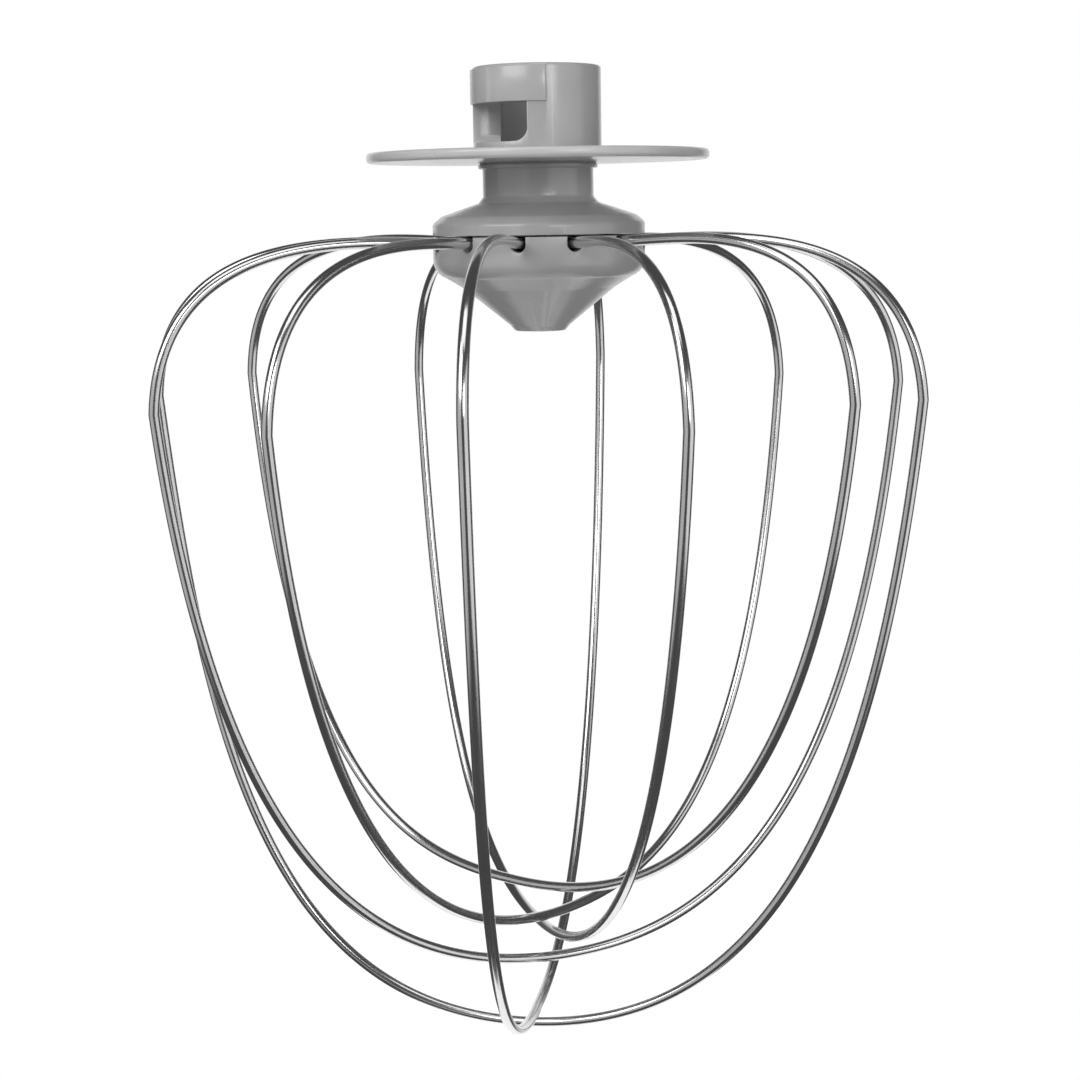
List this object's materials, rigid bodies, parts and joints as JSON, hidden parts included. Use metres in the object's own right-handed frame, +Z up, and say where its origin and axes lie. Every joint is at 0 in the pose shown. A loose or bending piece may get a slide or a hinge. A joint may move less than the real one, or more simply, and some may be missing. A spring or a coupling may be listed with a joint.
{
  "type": "stand mixer balloon whip",
  "caption": "Balloon whip for a stand mixer: crossed wire loops hooked into a two-part nose hub, with a drip disc and a bayonet socket for the drive shaft.",
  "frame": {"origin": "centre of the socket's mouth, on the axis of the drive shaft", "axes": "+Z up the drive shaft, out of the socket's mouth; -Y towards the side with the pin's seat; the wires hang towards -Z"},
  "size_m": [0.1498, 0.1561, 0.1885],
  "materials": {
    "upper_hub": "semi-gloss grey moulding",
    "drip_disc": "semi-gloss grey moulding",
    "lower_hub": "semi-gloss grey moulding",
    "screw": "machined",
    "washer": "bright",
    "insert": "turned",
    "wire": "polished stainless wire"
  },
  "bodies": {
    "root": {"upper_hub": "upper_hub", "drip_disc": "drip_disc", "lower_hub": "lower_hub", "clamp_screw": "screw", "screw_washer": "washer", "threaded_insert": "insert", "wire_loop_1": "wire", "wire_loop_2": "wire", "wire_loop_3": "wire", "wire_loop_4": "wire", "wire_loop_5": "wire", "wire_loop_6": "wire"}
  },
  "joints": []
}
